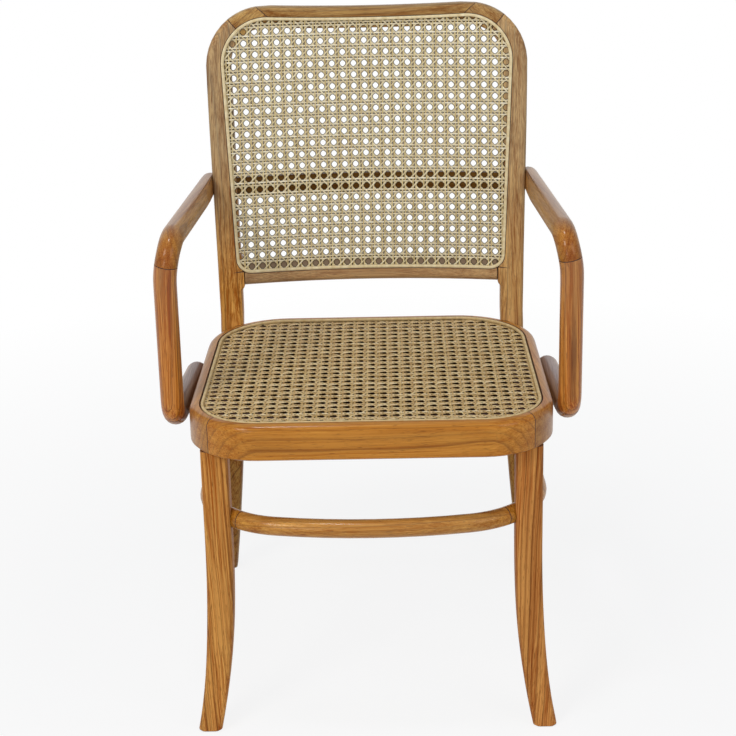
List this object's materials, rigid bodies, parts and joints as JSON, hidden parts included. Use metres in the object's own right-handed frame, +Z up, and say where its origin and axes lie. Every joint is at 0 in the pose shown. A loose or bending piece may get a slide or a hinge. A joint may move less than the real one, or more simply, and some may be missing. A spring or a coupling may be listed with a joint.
{
  "type": "teak armchair",
  "caption": "Teak dining armchair with round bent arms, a caned seat ring, a curved caned back, swept legs and a bowed stretcher hoop.",
  "frame": {"origin": "on the floor, in the middle of the chair's overall box", "axes": "+X to the viewer's right when facing the chair's front, +Y from the front to the back, +Z up"},
  "size_m": [0.5314, 0.5508, 0.8898],
  "materials": {
    "teak": "satin lacquer",
    "teak_red": "satin lacquer",
    "cane": "natural woven cane",
    "reed": "natural reed",
    "dowel": "plain beech",
    "screw_steel": "zinc plated"
  },
  "bodies": {
    "root": {"seat_front_rail": "teak", "seat_side_rail_left": "teak", "seat_side_rail_right": "teak", "seat_back_rail": "teak", "seat_corner_blocks": "teak", "seat_cane": "cane", "seat_spline": "reed", "post_left": "teak", "post_right": "teak", "back_corner_left": "teak", "back_corner_right": "teak", "back_top_rail": "teak", "back_bottom_rail": "teak", "back_mid_rail": "teak", "back_cane": "cane", "back_spline": "reed", "arm_rest_left": "teak", "arm_rest_right": "teak", "arm_post_left": "teak_red", "arm_post_right": "teak_red", "arm_foot_left": "teak", "arm_foot_right": "teak", "front_leg_left": "teak", "front_leg_right": "teak", "stretcher_front": "teak", "stretcher_side_left": "teak", "stretcher_side_right": "teak", "seat_dowels": "dowel", "back_dowels": "dowel", "arm_dowels": "dowel", "stretcher_dowels": "dowel", "post_screws": "screw_steel", "arm_screws": "screw_steel", "leg_screws": "screw_steel"}
  },
  "joints": []
}
